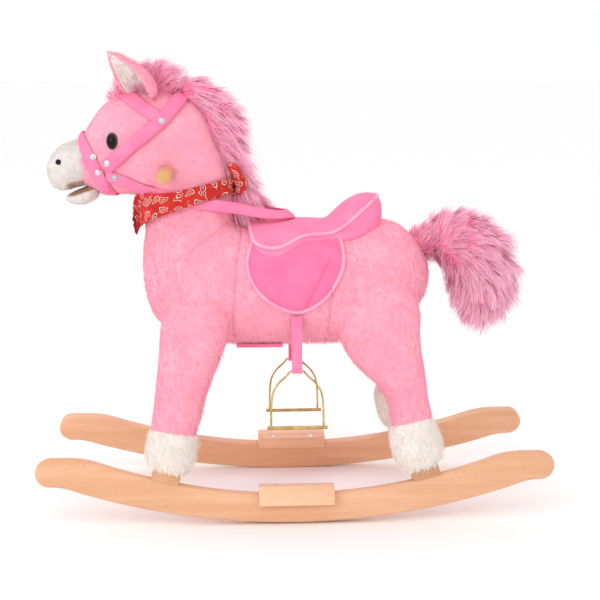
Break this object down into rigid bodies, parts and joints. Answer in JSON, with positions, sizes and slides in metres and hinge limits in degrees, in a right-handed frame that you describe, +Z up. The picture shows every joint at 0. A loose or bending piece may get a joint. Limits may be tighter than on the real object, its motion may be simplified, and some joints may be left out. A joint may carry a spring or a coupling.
{
  "type": "plush rocking horse",
  "caption": "Plush rocking horse standing on two bowed wooden rockers, with saddle, hanging wire stirrups, bridle, reins, neck scarf, handle dowel and footrests.",
  "frame": {"origin": "on the floor, midway between the rockers and midway along them", "axes": "+Z up, -X towards the nose, +X towards the tail, -Y to the horse's left side"},
  "size_m": [0.74, 0.2962, 0.6627],
  "materials": {
    "beech": "clear-lacquered pale beech",
    "inner_wood": "raw sawn softwood, hidden inside",
    "pink_plush": "short-pile pale pink plush",
    "white_plush": "short-pile off-white plush",
    "long_fur": "long-pile pink faux fur",
    "pink_felt": "brushed pink tricot over thin foam",
    "red_cotton": "thin red printed cotton",
    "brass_wire": "yellow-passivated steel wire",
    "nickel": "nickel-plated caps",
    "black_gloss": "glossy black",
    "steel": "plain steel screws",
    "white_plastic": "hidden white case"
  },
  "bodies": {
    "horse": {"rocker_left": "beech", "rocker_right": "beech", "footrest_left": "beech", "footrest_right": "beech", "leg_post_front_left": "beech", "leg_post_front_right": "beech", "leg_post_rear_left": "beech", "leg_post_rear_right": "beech", "handle_dowel": "beech", "bolster_front": "inner_wood", "bolster_rear": "inner_wood", "spine_board": "inner_wood", "neck_post": "inner_wood", "body_plush": "pink_plush", "leg_plush_front_left": "pink_plush", "leg_plush_front_right": "pink_plush", "leg_plush_rear_left": "pink_plush", "leg_plush_rear_right": "pink_plush", "head_plush": "pink_plush", "ear_left": "pink_plush", "ear_right": "pink_plush", "muzzle_plush": "white_plush", "hoof_front_left": "white_plush", "hoof_front_right": "white_plush", "hoof_rear_left": "white_plush", "hoof_rear_right": "white_plush", "mane": "long_fur", "forelock": "long_fur", "noseband": "pink_felt", "crownpiece": "pink_felt", "browband": "pink_felt", "cheek_strap_left": "pink_felt", "cheek_strap_right": "pink_felt", "rein_left": "pink_felt", "rein_right": "pink_felt", "saddle_seat": "pink_felt", "saddle_flap_left": "pink_felt", "saddle_flap_right": "pink_felt", "belly_flap": "pink_felt", "bandana": "red_cotton", "rivet_left_1": "nickel", "rivet_left_2": "nickel", "rivet_left_3": "nickel", "rivet_right_1": "nickel", "rivet_right_2": "nickel", "rivet_right_3": "nickel", "eye_left": "black_gloss", "eye_right": "black_gloss", "footrest_screw_left_1": "steel", "footrest_screw_left_2": "steel", "footrest_screw_right_1": "steel", "footrest_screw_right_2": "steel", "sound_box": "white_plastic"},
    "jaw": {"jaw_plush": "white_plush"},
    "tail": {"tail": "long_fur"},
    "rein": {"rein_loop": "pink_felt"},
    "strap_left": {"stirrup_strap_left": "pink_felt"},
    "strap_right": {"stirrup_strap_right": "pink_felt"},
    "stirrup_left": {"stirrup_left": "brass_wire"},
    "stirrup_right": {"stirrup_right": "brass_wire"}
  },
  "joints": [
    {"name": "jaw_open", "type": "hinge", "parent": "horse", "child": "jaw", "pos_m": [-0.287, 0, 0.464], "axis": [0, -1, 0], "range_deg": [-4, 6]},
    {"name": "tail_wag", "type": "hinge", "parent": "horse", "child": "tail", "pos_m": [0.19, 0, 0.379], "axis": [0, 0, 1], "range_deg": [-20, 20]},
    {"name": "rein_lift", "type": "hinge", "parent": "horse", "child": "rein", "pos_m": [-0.092, 0, 0.445], "axis": [0, -1, 0], "range_deg": [0, 35]},
    {"name": "left_strap_swing", "type": "hinge", "parent": "horse", "child": "strap_left", "pos_m": [0.003, -0.0896, 0.297], "axis": [0, 1, 0], "range_deg": [-25, 25]},
    {"name": "left_stirrup_tilt", "type": "hinge", "parent": "strap_left", "child": "stirrup_left", "pos_m": [0.003, -0.0896, 0.212], "axis": [1, 0, 0], "range_deg": [-35, 35]},
    {"name": "right_strap_swing", "type": "hinge", "parent": "horse", "child": "strap_right", "pos_m": [0.003, 0.0896, 0.297], "axis": [0, 1, 0], "range_deg": [-25, 25]},
    {"name": "right_stirrup_tilt", "type": "hinge", "parent": "strap_right", "child": "stirrup_right", "pos_m": [0.003, 0.0896, 0.189], "axis": [1, 0, 0], "range_deg": [-35, 35]}
  ]
}
